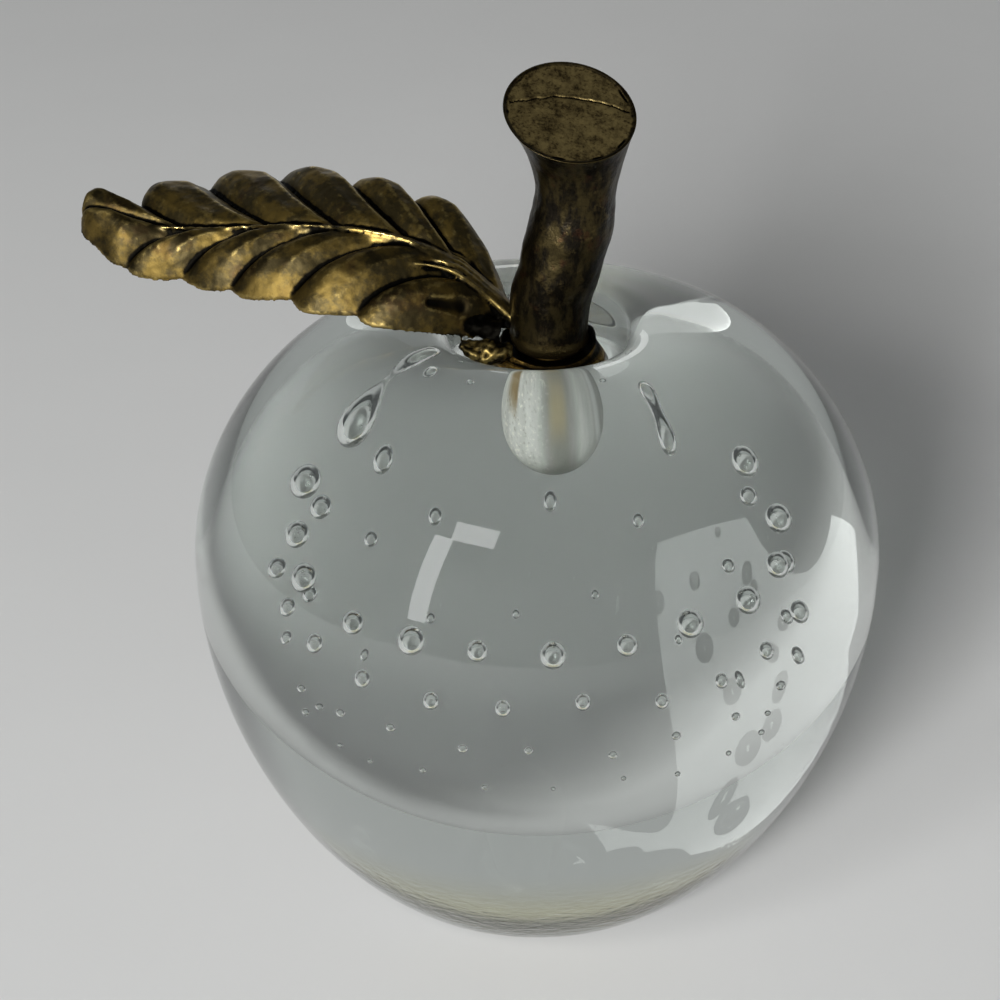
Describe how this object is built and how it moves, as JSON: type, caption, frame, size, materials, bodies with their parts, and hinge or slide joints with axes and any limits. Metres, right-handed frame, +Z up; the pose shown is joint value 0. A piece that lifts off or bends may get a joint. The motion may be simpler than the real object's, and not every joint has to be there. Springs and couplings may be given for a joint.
{
  "type": "glass apple paperweight",
  "caption": "Solid clear glass apple ornament with rings of trapped air bubbles, a flat ground base, and a cast brass twig stem and lobed leaf cemented into its dimple.",
  "frame": {"origin": "middle of the flat ground base, on the glass body's axis", "axes": "+Z up along the glass body's axis, -Y towards the viewer of the picture, the leaf points to -X"},
  "size_m": [0.0982, 0.084, 0.104],
  "materials": {
    "clear_glass": "polished solid glass",
    "cement": "milky set resin, a little yellowed",
    "collar_brass": "antiqued, rubbed bright on the rim",
    "peg_brass": "drawn rod",
    "stem_brass": "antiqued dark brown, mottled",
    "leaf_brass": "antiqued, rubbed gold on the raised lobes"
  },
  "bodies": {
    "root": {"glass_body": "clear_glass", "socket_cement": "cement", "foot_collar": "collar_brass", "stem_peg": "peg_brass", "stem": "stem_brass", "leaf": "leaf_brass"}
  },
  "joints": []
}
